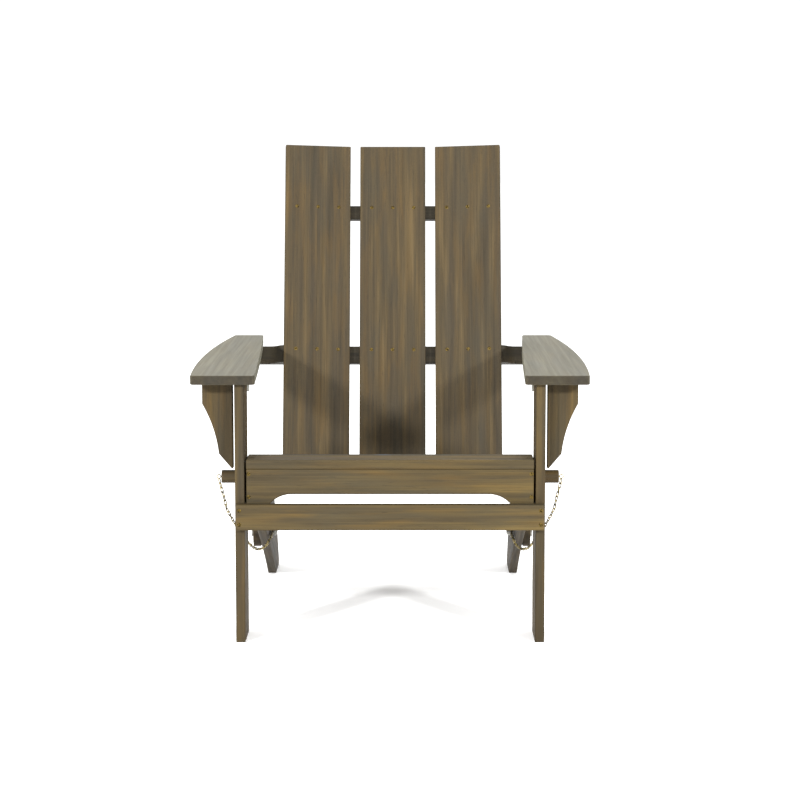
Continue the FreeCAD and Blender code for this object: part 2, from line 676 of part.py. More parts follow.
corbel_right = stand(cut("corbel_right_cut", corbel_board, bracket_bores), "corbel_right")
mirror(corbel_right, "corbel_left")
bracket_right = stand(cut("corbel_bracket_right_cut", bracket_blank, bracket_bores), "corbel_bracket_right")
mirror(bracket_right, "corbel_bracket_left")
stand(copies("bracket_screw", small_screw, bracket_spots), "corbel_bracket_screws")
stand(copies("arm_hinge_screw", small_screw, arm_small_spots), "arm_hinge_screws")
stand(copies("leg_hinge_screw", small_screw, leg_small_spots), "leg_hinge_screws")

# Butt hinges: the arm's leaf has the middle knuckle, the other leaf the two outer ones

KNUCKLE = "((hinge_wide - 2 * knuckle_gap) / 3)"
leaf_near = "(knuckle_radius + leaf_gap)"


def hinge_leaf(label, face, knuckle_lefts):
    """A leaf whose screwed face looks along Z ("+" or "-"), with knuckles from the given places."""
    low = "knuckle_radius - hinge_thick" if face == "+" else "-knuckle_radius"
    pieces = [box(label + "_plate", ["hinge_wide", f"hinge_leaf - {leaf_near}", "hinge_thick"],
                  ("-hinge_wide / 2", leaf_near, low))]
    for number, left in enumerate(knuckle_lefts):
        pieces.append(box(f"{label}_tab_{number}", [KNUCKLE, leaf_near, "hinge_thick"], (left, "0", low)))
        pieces.append(cylinder(f"{label}_knuckle_{number}", "knuckle_radius", KNUCKLE, "X",
                               (left, "0", "0")))
    way = cylinder(label + "_way", "hinge_pin_radius + hinge_pin_play", "hinge_wide + 2", "X",
                   ("-hinge_wide / 2 - 1", "0", "0"))
    turn = "down" if face == "+" else "up"
    height = "knuckle_radius - hinge_thick" if face == "+" else "hinge_thick - knuckle_radius"
    spots = [((f"{sign}hinge_hole_half", "hinge_hole", height), turn) for sign in ["", "-"]]
    holes = group(label + "_holes", [way, copies(label + "_screw_holes", small_bore, spots)])
    return cut(label, fuse(label + "_blank", pieces), holes)


arm_leaf = hinge_leaf("arm_leaf", "+", [f"-{KNUCKLE} / 2"])
other_leaf = hinge_leaf("other_leaf", "-", ["-hinge_wide / 2", f"hinge_wide / 2 - {KNUCKLE}"])
hinge_pin = cylinder("hinge_pin", "hinge_pin_radius", "hinge_wide", "X", ("-hinge_wide / 2", "0", "0"))
hinge_pins = group("hinge_pin_group", [hinge_pin])
stand(copies("arm_hinge_leaf", arm_leaf, arm_leaf_spots), "arm_hinge_leaves")
stand(copies("arm_hinge_pin", hinge_pins, arm_leaf_spots), "arm_hinge_pins")
leg_leaves = stand(copies("leg_hinge_leaf", other_leaf, leg_leaf_spots), "leg_hinge_leaves")

# Back frame, on its own leaning axes

SIDE_SLAT = "(slat_wide / 2 + slat_gap)"
SLAT_ROWS = [
    "upper_rail_low + upper_rail_screw",
    "arm_rail_low + arm_rail_screw",
    "lower_rail_low + lower_rail_wide / 2",
]
slat_long = "(slat_high - slat_low)"
centre_board = board("centre_slat_board", "XY_Plane",
                     rectangle("-slat_wide / 2", "0", "slat_wide / 2", "board_thick"),
                     "slat_low", slat_long)
side_board = board("side_slat_board", "XY_Plane", rectangle("0", "0", "slat_wide", "board_thick"),
                   "slat_low", slat_long)


def twist(thing):
    """Turn a piece about a side slat's inner edge, outer edge forward."""
    thing.Placement = Placement(Vector(), Rotation(Vector(0, 0, -1), 10))
    bind(thing, "Placement.Rotation.Angle", "slat_twist")
    bind(thing, "Placement.Base.x", SIDE_SLAT)
    return thing


def slat_screw_spots(middle):
    """Three screws on each rail, through a slat of the given middle."""
    return [((f"{middle} {offset}", "0", row), "front")
            for row in SLAT_ROWS for offset in ["- slat_screw_half", "", "+ slat_screw_half"]]


twist(side_board)
centre_spots = slat_screw_spots("0")
side_spots = slat_screw_spots("slat_wide / 2")
centre_bores = copies("centre_slat_bores", screw_bore, centre_spots)
side_bores = twist(copies("side_slat_bores", screw_bore, side_spots))
left_side_bores = doc.addObject("Part::Mirroring", "left_side_slat_bores")
left_side_bores.Source = side_bores
left_side_bores.Normal = (1, 0, 0)
rail_slat_bores = group("rail_slat_bores", [centre_bores, side_bores, left_side_bores])
lean(cut("back_slat_centre_cut", centre_board, centre_bores), "back_slat_centre")
slat_right = lean(cut("back_slat_right_cut", side_board, side_bores), "back_slat_right")
mirror(slat_right, "back_slat_left")
side_screws = twist(copies("side_slat_screw", screw, side_spots))
left_side_screws = doc.addObject("Part::Mirroring", "left_side_slat_screws")
left_side_screws.Source = side_screws
left_side_screws.Normal = (1, 0, 0)
centre_screws = copies("centre_slat_screw", screw, centre_spots)
slat_screws = group("slat_screw_group", [centre_screws, side_screws, left_side_screws])
lean(slat_screws, "back_slat_screws")

# Rails: the front face follows the backs of the turned side slats out to their outer edges
SEAT_IN = f"({SIDE_SLAT} + board_thick * (1 - cos(slat_twist)) / sin(slat_twist))"
SLAT_OUT = f"({SIDE_SLAT} + slat_wide * cos(slat_twist))"
HORN = f"(board_thick - ({SLAT_OUT} - {SEAT_IN}) * tan(slat_twist))"


def rail_outline(right_end):
    """A rail's section across the frame: right_end lists its corners right of the turned slat, rear last."""
    left_end = [(f"-({across})", depth, bow) for across, depth, bow in right_end]
    front_bows = [bow for _, _, bow in right_end[:-1]]
    left_side = []
    for index in range(len(left_end) - 1, -1, -1):
        across, depth, _ = left_end[index]
        bow = front_bows[index - 1] if index > 0 else "0"
        left_side.append((across, depth, bow))
    return left_side + [(f"-{SEAT_IN}", "board_thick", "0"), (SEAT_IN, "board_thick", "0")] + right_end


upper_rail_board = board("upper_rail_board", "XY_Plane",
                         rail_outline([(SLAT_OUT, HORN, "0"), (SLAT_OUT, RAIL_REAR, "0")]),
                         "upper_rail_low", "upper_rail_wide")
RAIL_END_FRONT = f"({RAIL_REAR} - arm_rail_end_thick)"
NECK_MIDDLE = f"(({SLAT_OUT} + arm_rail_neck) / 2)"
arm_rail_board = board("arm_rail_board", "XY_Plane", rail_outline([
    (SLAT_OUT, HORN, "arm_rail_swing_bow"),
    (NECK_MIDDLE, f"({HORN} + {RAIL_END_FRONT}) / 2", "-arm_rail_swing_bow"),
    ("arm_rail_neck", RAIL_END_FRONT, "0"),
    ("arm_rail_half", RAIL_END_FRONT, "0"),
    ("arm_rail_half", RAIL_REAR, "0"),
]), "arm_rail_low", "arm_rail_wide")
chamfer_right = board("arm_rail_chamfer_right", "YZ_Plane", [
    (f"{RAIL_END_FRONT} - 1", "arm_rail_low - 1", "0"),
    (f"{RAIL_END_FRONT} + arm_rail_chamfer + 1", "arm_rail_low - 1", "0"),
    (f"{RAIL_END_FRONT} - 1", "arm_rail_low + arm_rail_chamfer + 1", "0"),
], "arm_rail_neck", "arm_rail_half - arm_rail_neck + 1", "0")
chamfer_left = doc.addObject("Part::Mirroring", "arm_rail_chamfer_left")
chamfer_left.Source = chamfer_right
chamfer_left.Normal = (1, 0, 0)

LOWER_RAIL_HALF = f"({STRINGER_OUTER} + cheek_gap)"
lower_rail_board = board("lower_rail_board", "XY_Plane", rail_outline([
    (SLAT_OUT, HORN, "0"),
    (LOWER_RAIL_HALF, HORN, "0"),
    (LOWER_RAIL_HALF, RAIL_REAR, "0"),
]), "lower_rail_low", "lower_rail_wide")

frame_leaf_spots = both_sides([(("rear_hinge_x", REAR_AXIS_N, REAR_AXIS_S), "rear")])
frame_small_spots = both_sides([
    ((f"rear_hinge_x {sign} hinge_hole_half", f"{RAIL_REAR} + hinge_thick",
      f"{REAR_AXIS_S} - hinge_hole"), "rear")
    for sign in "+-"
])
frame_small_bores = copies("frame_small_bores", small_bore, frame_small_spots)
arm_rail_cuts = group("arm_rail_cuts", [rail_slat_bores, frame_small_bores, chamfer_right, chamfer_left])
lean(cut("upper_back_rail_cut", upper_rail_board, rail_slat_bores), "upper_back_rail")
lean(cut("arm_rail_cut", arm_rail_board, arm_rail_cuts), "arm_rail")
lean(copies("frame_hinge_leaf", other_leaf, frame_leaf_spots), "frame_hinge_leaves")
lean(copies("frame_hinge_screw", small_screw, frame_small_spots), "frame_hinge_screws")

# Cheeks, from the lower rail's ends forward to the pivot bolts
PIVOT_N = "((pivot_y - back_foot_y) * cos(recline) - (pivot_z - back_foot_z) * sin(recline))"
PIVOT_S = "((pivot_y - back_foot_y) * sin(recline) + (pivot_z - back_foot_z) * cos(recline))"
CHEEK_S = "(lower_rail_low + lower_rail_wide / 2)"
CHEEK_OUTER = f"({LOWER_RAIL_HALF} + cheek_thick)"
cheek_long = f"sqrt((cheek_end - {PIVOT_N})^2 + ({CHEEK_S} - {PIVOT_S})^2)"
cheek_run = f"((cheek_end - {PIVOT_N}) / {cheek_long} * cheek_radius)"
cheek_rise = f"(({CHEEK_S} - {PIVOT_S}) / {cheek_long} * cheek_radius)"
cheek_board = board("cheek_board", "YZ_Plane", [
    (f"{PIVOT_N} + {cheek_rise}", f"{PIVOT_S} - {cheek_run}", "0"),
    (f"cheek_end + {cheek_rise}", f"{CHEEK_S} - {cheek_run}", "cheek_radius"),
    (f"cheek_end - {cheek_rise}", f"{CHEEK_S} + {cheek_run}", "0"),
    (f"{PIVOT_N} - {cheek_rise}", f"{PIVOT_S} + {cheek_run}", "cheek_radius"),
], LOWER_RAIL_HALF, "cheek_thick")
drill(cheek_board, PIVOT_N, PIVOT_S, "bolt_radius + bolt_play", LOWER_RAIL_HALF)
cheek_spots = both_sides([
    ((CHEEK_OUTER, f"cheek_end {sign} cheek_screw_half", CHEEK_S), "right") for sign in "+-"
])
cheek_bores = copies("cheek_bores", screw_bore, cheek_spots)
lower_rail_bores = group("lower_rail_bores", [rail_slat_bores, cheek_bores])
lean(cut("lower_back_rail_cut", lower_rail_board, lower_rail_bores), "lower_back_rail")
cheek_right = lean(cut("back_cheek_right_cut", cheek_board, cheek_bores), "back_cheek_right")
mirror(cheek_right, "back_cheek_left")
lean(copies("cheek_screw", screw, cheek_spots), "cheek_screws")

# Pivot bolts with washers, nuts and the chains' end rings
WASHER_IN = f"({STRINGER_INNER} - washer_thick)"
NUT_IN = f"({WASHER_IN} - nut_stand - nut_high)"
bolt_inner = f"({NUT_IN} - bolt_end)"
bolt_under_head = f"({CHEEK_OUTER} + bolt_head_gap)"
bolt_shank = cylinder("bolt_shank", "bolt_radius", f"{bolt_under_head} - {bolt_inner}", "X",
                      (bolt_inner, "pivot_y", "pivot_z"))
bolt_head = cylinder("bolt_head", "bolt_head_radius", "bolt_head_high", "X",
                     (bolt_under_head, "pivot_y", "pivot_z"))
bolt_right = stand(fuse("pivot_bolt_right_blank", [bolt_shank, bolt_head]), "pivot_bolt_right")
mirror(bolt_right, "pivot_bolt_left")
bolt_way = cylinder("bolt_way", "bolt_radius + screw_play", f"{STRINGER_INNER} - {bolt_inner}", "X",
                    (bolt_inner, "pivot_y", "pivot_z"))
washer_disc = cylinder("washer_disc", "washer_radius", "washer_thick", "X",
                       (WASHER_IN, "pivot_y", "pivot_z"))
washer_right = stand(cut("pivot_washer_right_cut", washer_disc, bolt_way), "pivot_washer_right")
mirror(washer_right, "pivot_washer_left")
nut_blank = doc.addObject("Part::Prism", "nut_blank")
nut_blank.Polygon = 6
nut_blank.Placement = Placement(Vector(), TURNS["right"])
bind(nut_blank, "Circumradius", "nut_radius")
bind(nut_blank, "Height", "nut_high")
put(nut_blank, (NUT_IN, "pivot_y", "pivot_z"))
nut_right = stand(cut("pivot_nut_right_cut", nut_blank, bolt_way), "pivot_nut_right")
mirror(nut_right, "pivot_nut_left")
end_ring = doc.addObject("Part::Torus", "end_ring")
end_ring.Placement = Placement(Vector(), TURNS["right"])
bind(end_ring, "Radius1", "end_ring_radius")
bind(end_ring, "Radius2", "end_ring_wire")
put(end_ring, (f"{WASHER_IN} - nut_stand / 2", "pivot_y", "pivot_z"))
ring_right = stand(group("chain_end_ring_right_group", [end_ring]), "chain_end_ring_right")
mirror(ring_right, "chain_end_ring_left")

# Lock pins, drawn out of the stringers, with a screw eye in the outer end
PIN_TIP = f"({STRINGER_OUTER} + pin_tip_gap)"
PIN_END = f"({PIN_TIP} + pin_long)"
pin_dowel = doc.addObject("PartDesign::Body", "pin_dowel")
pin_sketch = sketch_on(pin_dowel, "YZ_Plane", PIN_TIP)
pin_middle = Vector(value("pin_y"), value("pin_z"), 0)
pin_circle = pin_sketch.addGeometry(Part.Circle(pin_middle, Vector(0, 0, 1), 1))
constrain(pin_sketch, "DistanceX", [-1, 1, pin_circle, 3], "pin_y")
constrain(pin_sketch, "DistanceY", [-1, 1, pin_circle, 3], "pin_z")
constrain(pin_sketch, "Radius", [pin_circle], "pin_radius")
pin_pad = pin_dowel.newObject("PartDesign::Pad", "Dowel")
pin_pad.Profile = pin_sketch
bind(pin_pad, "Length", "pin_long")
doc.recompute()
pin_ease = pin_dowel.newObject("PartDesign::Fillet", "Ends")
pin_ease.Base = (pin_pad, ["Edge1"])
pin_ease.UseAllEdges = True
bind(pin_ease, "Radius", "pin_round")
eye_middle = f"({PIN_END} + eye_radius + 2 * eye_wire)"
eye_ring = doc.addObject("Part::Torus", "eye_ring")
eye_ring.Placement = Placement(Vector(), TURNS["front"])
bind(eye_ring, "Radius1", "eye_radius")
bind(eye_ring, "Radius2", "eye_wire")
put(eye_ring, (eye_middle, "pin_y", "pin_z"))
eye_stem = cylinder("eye_stem", "eye_wire", "eye_shank + 2 * eye_wire", "X",
                    (f"{PIN_END} - eye_shank", "pin_y", "pin_z"))
eye_bore = cylinder("eye_bore", "eye_wire + screw_play", "eye_shank + screw_play + 1", "X",
                    (f"{PIN_END} - eye_shank - screw_play", "pin_y", "pin_z"))
pin_right = stand(cut("lock_pin_right_cut", pin_dowel, eye_bore), "lock_pin_right")
mirror(pin_right, "lock_pin_left")
eye_right = stand(fuse("pin_eye_right_blank", [eye_ring, eye_stem]), "pin_eye_right")
mirror(eye_right, "pin_eye_left")

# Chains, each as a round cord on its route from the screw eye behind the leg to the pivot bolt
chain_route = [
    Vector(326.9, 46, 308), Vector(323.8, 51, 290), Vector(318.2, 58, 268), Vector(316, 65, 249),
    Vector(309, 80, 230), Vector(301.5, 99, 210), Vector(292, 127, 185), Vector(280.5, 158, 162),
    Vector(273.5, 189, 146), Vector(266, 224, 135), Vector(259, 264, 129.5), Vector(253, 306, 130),
    Vector(250, 350, 133.5), Vector(249.6, 395, 132), Vector(251, 437.9, 128),
]


def chain_path(points):
    """Straight runs joined by tangent arcs as large as the runs allow, and each arc's radius."""
    edges = []
    radii = []
    start = points[0]
    for before, corner, after in zip(points, points[1:], points[2:]):
        inward = before - corner
        onward = after - corner
        reach = 0.45 * min(inward.Length, onward.Length)
        turn = math.pi - inward.getAngle(onward)
        inward.normalize()
        onward.normalize()
        radius = reach / math.tan(turn / 2)
        entry = corner + inward * reach
        leave = corner + onward * reach
        bisector = (inward + onward).normalize()
        middle = corner + bisector * (radius / math.cos(turn / 2) - radius)
        edges.append(Part.LineSegment(start, entry).toShape())
        edges.append(Part.Arc(entry, middle, leave).toShape())
        radii.append(radius)
        start = leave
    edges.append(Part.LineSegment(start, points[-1]).toShape())
    return Part.Wire(edges), radii


route, radii = chain_path(chain_route)
section = Part.Wire(Part.makeCircle(value("chain_radius"), chain_route[0], chain_route[1] - chain_route[0]))
chain_right = doc.addObject("Part::Feature", "chain_right_tube")
chain_right.Shape = route.makePipeShell([section], True, False)
stand(chain_right, "chain_right")
mirror(chain_right, "chain_left")

doc.recompute()
failed = [thing.Label for thing in doc.Objects if "Invalid" in thing.State or "Error" in thing.State]
for node in nodes:
    if node.Shape.isNull() or not node.Shape.isValid() or not node.Shape.Solids:
        failed.append(node.Label)
if failed:
    raise RuntimeError(f"failed: {failed}")
expected = math.pi * value("chain_radius") ** 2 * route.Length
print(f"chain: length {route.Length:.1f}, smallest radius {min(radii):.1f}, "
      f"volume {chain_right.Shape.Volume:.0f} of {expected:.0f}")
print("radii:", ", ".join(f"{radius:.0f}" for radius in radii))

os.makedirs("parts", exist_ok=True)
for node in nodes:
    node.Shape.exportStep(f"parts/{node.Label}.step")
print(f"{len(nodes)} nodes")
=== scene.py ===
"""Looks of the folding garden armchair: stained acacia boards, zinc-plated fittings, brass chains.

Metres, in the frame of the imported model: +X to the right seen from in front of the chair, +Y to the
rear, +Z up from the floor.
"""

import math

import bmesh
import bpy
from mathutils import Euler, Matrix, Vector


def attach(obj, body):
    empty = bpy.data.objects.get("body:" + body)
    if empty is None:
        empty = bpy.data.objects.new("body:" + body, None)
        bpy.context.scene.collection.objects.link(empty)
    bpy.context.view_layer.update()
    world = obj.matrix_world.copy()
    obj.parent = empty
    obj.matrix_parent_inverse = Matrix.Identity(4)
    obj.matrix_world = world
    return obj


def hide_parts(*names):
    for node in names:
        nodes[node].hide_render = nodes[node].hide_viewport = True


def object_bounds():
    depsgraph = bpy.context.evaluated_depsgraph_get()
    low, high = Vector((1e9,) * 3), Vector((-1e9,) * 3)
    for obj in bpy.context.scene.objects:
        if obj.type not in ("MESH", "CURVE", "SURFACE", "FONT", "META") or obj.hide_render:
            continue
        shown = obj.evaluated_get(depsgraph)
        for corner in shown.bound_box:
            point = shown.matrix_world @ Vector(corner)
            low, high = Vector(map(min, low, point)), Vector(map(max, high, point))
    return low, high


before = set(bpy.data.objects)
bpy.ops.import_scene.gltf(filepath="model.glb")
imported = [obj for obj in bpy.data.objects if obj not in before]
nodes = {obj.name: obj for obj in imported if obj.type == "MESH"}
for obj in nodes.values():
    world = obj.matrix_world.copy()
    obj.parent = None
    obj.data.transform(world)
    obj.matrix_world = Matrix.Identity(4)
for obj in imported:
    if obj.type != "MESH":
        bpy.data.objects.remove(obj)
cad_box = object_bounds()
MM = 0.001


# Finishes

def linear(code):
    """An sRGB hex colour as linear red, green, blue and a full alpha."""
    channels = [int(code[place:place + 2], 16) / 255 for place in (1, 3, 5)]
    return [*(c / 12.92 if c <= 0.04045 else ((c + 0.055) / 1.055) ** 2.4 for c in channels), 1]


def add(tree, kind, inputs=(), stops=(), **settings):
    """Add a node with its settings, its sockets' values or links, and its colour stops."""
    node = tree.nodes.new(kind)
    for name, setting in settings.items():
        setattr(node, name, setting)
    for socket, given in dict(inputs).items():
        if isinstance(given, bpy.types.NodeSocket):
            tree.links.new(given, node.inputs[socket])
        else:
            node.inputs[socket].default_value = given
    for number, (place, colour) in enumerate(stops):
        elements = node.color_ramp.elements
        element = elements[number] if number < 2 else elements.new(place)
        element.position = place
        element.color = linear(colour)
    return node


def new_finish(name):
    """An empty material: itself, its node tree and its shader."""
    finish = bpy.data.materials.new(name)
    finish.use_nodes = True
    tree = finish.node_tree
    tree.nodes.clear()
    shader = add(tree, "ShaderNodeBsdfPrincipled")
    add(tree, "ShaderNodeOutputMaterial", {"Surface": shader.outputs[0]})
    return finish, tree, shader


# Turns in degrees that lay each board's grain along X
GRAIN = {
    "across": (0, 0, 0),
    "upright": (0, 90, 0),
    "rearward": (0, 0, -90),
    "reclined": (16.5, 90, 0),
    "down_stringer": (23.6, 0, -90),
    "along_cheek": (-19, 0, -90),
}

# Figure of planed acacia: length along the grain and width across it in millimetres, and fine detail
FIGURE = {
    "bands": (460, 26, 3),
    "streaks": (300, 7, 3),
    "fibres": (300, 1.8, 2),
    "ochre": (170, 18, 4),
    "grey": (160, 40, 4),
    "pores": (30, 1.6, 1),
}

# Stain over acacia: dark heartwood band, body, warm band, pale sapwood band, ochre patches, grey patches
BROWN_STAIN = ("#292214", "#332a1a", "#3b301b", "#4b3d23", "#4c3813", "#2d2a20")
WARM_STAIN = ("#2c2413", "#372d18", "#41351a", "#514220", "#543e12", "#332f22")
LEG_STAIN = ("#292111", "#332915", "#3b2f16", "#4a3b1b", "#4d3810", "#2f2b1f")
# The arms' paler, greyer palette is partly weathered grey and partly painted sheen that lifts their lit
# tops
GREY_STAIN_AND_PAINTED_SHEEN = ("#2f2b20", "#383327", "#3f392a", "#464130", "#423720", "#363530")
# The back rails sit in the shade of the back slats and arms: this palette is the brown stain darkened
# with painted shade
RAIL_PAINTED_SHADE = ("#1f1b12", "#262116", "#2b2517", "#31291b", "#302510", "#211f18")

# Pale haze that raised fibres give the weathered arms when they are seen along the face
ARM_HAZE = 0.14

# One cell of wood, along and across the grain, that may hold a knot, and the share of cells without one
KNOT_CELL = (190 * MM, 80 * MM)
CLEAR_SHARE = 0.8


def stained_acacia(name, grain, board, stain, haze):
    """Planed acacia under a thin grey-brown stain: matt, streaked, and ochre where it took less."""
    dark, body, warm, pale, ochre, grey = stain
    finish, tree, shader = new_finish(name)
    place = add(tree, "ShaderNodeTexCoord")
    turn = [math.radians(angle) for angle in GRAIN[grain]]
    # Each board is cut from another place in the log
    shift = (0.731 * board, 0.377 * board, 0.173 * board)
    along = add(tree, "ShaderNodeMapping",
                {"Vector": place.outputs["Object"], "Rotation": turn, "Location": shift}).outputs[0]
    figure = {}
    for pattern, (length, width, detail) in FIGURE.items():
        per_metre = (1 / (length * MM), 1 / (width * MM), 1 / (width * MM))
        size = add(tree, "ShaderNodeVectorMath", {0: along, 1: per_metre}, operation="MULTIPLY")
        figure[pattern] = add(tree, "ShaderNodeTexNoise",
                              {"Vector": size.outputs[0], "Scale": 1, "Detail": detail, "Roughness": 0.55,
                               "Distortion": 0.25}).outputs["Fac"]

    bands = add(tree, "ShaderNodeMix", {0: 0.3, 2: figure["bands"], 3: figure["streaks"]},
                data_type="FLOAT")
    colour = add(tree, "ShaderNodeValToRGB", {0: bands.outputs[0]},
                 [(0.34, dark), (0.45, body), (0.55, warm), (0.66, pale)]).outputs[0]
    ochre_where = add(tree, "ShaderNodeValToRGB", {0: figure["ochre"]},
                      [(0.5, "#000000"), (0.75, "#b0b0b0")])
    colour = add(tree, "ShaderNodeMix", {0: ochre_where.outputs[0], 6: colour, 7: linear(ochre)},
                 data_type="RGBA").outputs[2]
    grey_where = add(tree, "ShaderNodeValToRGB", {0: figure["grey"]},
                     [(0.48, "#000000"), (0.72, "#b8b8b8")])
    colour = add(tree, "ShaderNodeMix", {0: grey_where.outputs[0], 6: colour, 7: linear(grey)},
                 data_type="RGBA").outputs[2]
    fibre_shade = add(tree, "ShaderNodeValToRGB", {0: figure["fibres"]},
                      [(0.3, "#e6e6e6"), (0.6, "#ffffff")])
    colour = add(tree, "ShaderNodeMix", {0: 1, 6: colour, 7: fibre_shade.outputs[0]},
                 data_type="RGBA", blend_type="MULTIPLY").outputs[2]
    pore_shade = add(tree, "ShaderNodeValToRGB", {0: figure["pores"]},
                     [(0.22, "#cccccc"), (0.34, "#ffffff")])
    colour = add(tree, "ShaderNodeMix", {0: 1, 6: colour, 7: pore_shade.outputs[0]},
                 data_type="RGBA", blend_type="MULTIPLY").outputs[2]

    # Small dark knots, longer than wide, with a soft edge
    long, wide = KNOT_CELL
    cell = add(tree, "ShaderNodeVectorMath", {0: along, 1: (1 / long, 1 / wide, 1 / wide)},
               operation="MULTIPLY")
    knots = add(tree, "ShaderNodeTexVoronoi", {"Vector": cell.outputs[0], "Scale": 1})
    knot_core = add(tree, "ShaderNodeValToRGB", {0: knots.outputs["Distance"]},
                    [(0.03, "#ffffff"), (0.12, "#000000")])
    chance = add(tree, "ShaderNodeSeparateColor", {0: knots.outputs["Color"]})
    chosen = add(tree, "ShaderNodeMath", {0: chance.outputs[0], 1: CLEAR_SHARE}, operation="GREATER_THAN")
    knot = add(tree, "ShaderNodeMath", {0: chosen.outputs[0], 1: knot_core.outputs[0]},
               operation="MULTIPLY")
    colour = add(tree, "ShaderNodeMix", {0: knot.outputs[0], 6: colour, 7: linear("#33363a")},
                 data_type="RGBA").outputs[2]

    # End grain drinks more stain, so the sawn ends are darker
    facing = add(tree, "ShaderNodeMapping", {"Vector": place.outputs["Normal"], "Rotation": turn},
                 vector_type="VECTOR")
    way = add(tree, "ShaderNodeSeparateXYZ", {0: facing.outputs[0]})
    sawn = add(tree, "ShaderNodeMath", {0: way.outputs[0]}, operation="ABSOLUTE")
    end_shade = add(tree, "ShaderNodeValToRGB", {0: sawn.outputs[0]},
                    [(0.75, "#ffffff"), (0.95, "#b9b5ad")])
    colour = add(tree, "ShaderNodeMix", {0: 1, 6: colour, 7: end_shade.outputs[0]},
                 data_type="RGBA", blend_type="MULTIPLY").outputs[2]
    tree.links.new(colour, shader.inputs["Base Color"])

    # Thin stain leaves the summer wood a little smoother than the open pores
    gloss = add(tree, "ShaderNodeMapRange", {0: figure["streaks"], 1: 0.3, 2: 0.7, 3: 0.72, 4: 0.56})
    tree.links.new(gloss.outputs[0], shader.inputs["Roughness"])
    relief = add(tree, "ShaderNodeMath", {0: figure["fibres"], 1: figure["pores"]}, operation="ADD")
    bump = add(tree, "ShaderNodeBump",
               {"Height": relief.outputs[0], "Strength": 0.35, "Distance": 0.25 * MM})
    tree.links.new(bump.outputs[0], shader.inputs["Normal"])
    shader.inputs["IOR"].default_value = 1.5
    shader.inputs["Specular IOR Level"].default_value = 0.2
    shader.inputs["Sheen Weight"].default_value = haze
    shader.inputs["Sheen Tint"].default_value = linear("#f2f2dc")
    shader.inputs["Sheen Roughness"].default_value = 0.3
    return finish


def plated_metal(name, bright, dull, roughness, blotch):
    """Plated metal left outdoors: bright, but duller and rougher in blotches of that many millimetres."""
    finish, tree, shader = new_finish(name)
    place = add(tree, "ShaderNodeTexCoord")
    size = add(tree, "ShaderNodeVectorMath", {0: place.outputs["Object"], 3: 1 / (blotch * MM)},
               operation="SCALE")
    tarnish = add(tree, "ShaderNodeTexNoise", {"Vector": size.outputs[0], "Scale": 1, "Detail": 3})
    colour = add(tree, "ShaderNodeValToRGB", {0: tarnish.outputs["Fac"]}, [(0.4, bright), (0.62, dull)])
    tree.links.new(colour.outputs[0], shader.inputs["Base Color"])
    wear = add(tree, "ShaderNodeMapRange",
               {0: tarnish.outputs["Fac"], 1: 0.35, 2: 0.65, 3: roughness, 4: roughness + 0.2})
    tree.links.new(wear.outputs[0], shader.inputs["Roughness"])
    # Fine scratches, about 0.4 mm apart and 6 mm long
    scratch_size = add(tree, "ShaderNodeVectorMath",
                       {0: place.outputs["Object"], 1: (1 / (6 * MM), 1 / (0.4 * MM), 1 / (0.4 * MM))},
                       operation="MULTIPLY")
    scratches = add(tree, "ShaderNodeTexNoise",
                    {"Vector": scratch_size.outputs[0], "Scale": 1, "Detail": 2})
    bump = add(tree, "ShaderNodeBump",
               {"Height": scratches.outputs["Fac"], "Strength": 0.3, "Distance": 0.05 * MM})
    tree.links.new(bump.outputs[0], shader.inputs["Normal"])
    shader.inputs["Metallic"].default_value = 1
    return finish


def matt_floor(name):
    """White acrylic light table: matt, faintly cloudy, with a little light coming up through it."""
    finish, tree, shader = new_finish(name)
    place = add(tree, "ShaderNodeTexCoord")
    clouds = add(tree, "ShaderNodeTexNoise",
                 {"Vector": place.outputs["Object"], "Scale": 1.5, "Detail": 2})
    colour = add(tree, "ShaderNodeValToRGB", {0: clouds.outputs["Fac"]},
                 [(0.3, "#f7f7f6"), (0.7, "#fafafa")])
    tree.links.new(colour.outputs[0], shader.inputs["Base Color"])
    shader.inputs["Roughness"].default_value = 0.9
    shader.inputs["Specular IOR Level"].default_value = 0.1
    shader.inputs["Emission Color"].default_value = linear("#ffffff")
    shader.inputs["Emission Strength"].default_value = 0.2
    return finish


def dress(names, finish):
    """Give CAD pieces a finish."""
    for name in names:
        for slot in nodes[name].material_slots:
            slot.material = finish


# Boards by the way that their grain runs
BOARDS = {
    "upright": ["leg_left", "leg_right", "corbel_left", "corbel_right"],
    "across": ["front_stretcher", "apron", "front_seat_slat", "seat_slat_1", "seat_slat_2", "seat_slat_3",
               "seat_slat_4", "seat_slat_5", "seat_slat_6", "lock_pin_left", "lock_pin_right",
               "upper_back_rail", "arm_rail", "lower_back_rail"],
    "rearward": ["arm_left", "arm_right"],
    "reclined": ["back_slat_left", "back_slat_centre", "back_slat_right"],
    "down_stringer": ["stringer_left", "stringer_right"],
    "along_cheek": ["back_cheek_left", "back_cheek_right"],
}
# Boards whose stain came out unlike the common brown; the arms' paler grey is partly painted sheen and
# the rails' darker tone is painted shade
STAINED = [
    (GREY_STAIN_AND_PAINTED_SHEEN, ["arm_left", "arm_right"]),
    (RAIL_PAINTED_SHADE, ["upper_back_rail", "arm_rail", "lower_back_rail"]),
    (WARM_STAIN, ["apron", "front_stretcher", "front_seat_slat"]),
    (LEG_STAIN, ["leg_left", "leg_right", "corbel_left", "corbel_right"]),
]
STAIN_OF = {name: stain for stain, names in STAINED for name in names}

# Thin grey-brown stain on acacia: dull boards that show their grain, no two alike
board = 1
for grain, names in BOARDS.items():
    for name in names:
        stain = STAIN_OF.get(name, BROWN_STAIN)
        haze = ARM_HAZE if stain is GREY_STAIN_AND_PAINTED_SHEEN else 0
        dress([name], stained_acacia(f"stained_acacia_{name}", grain, board, stain, haze))
        board += 1

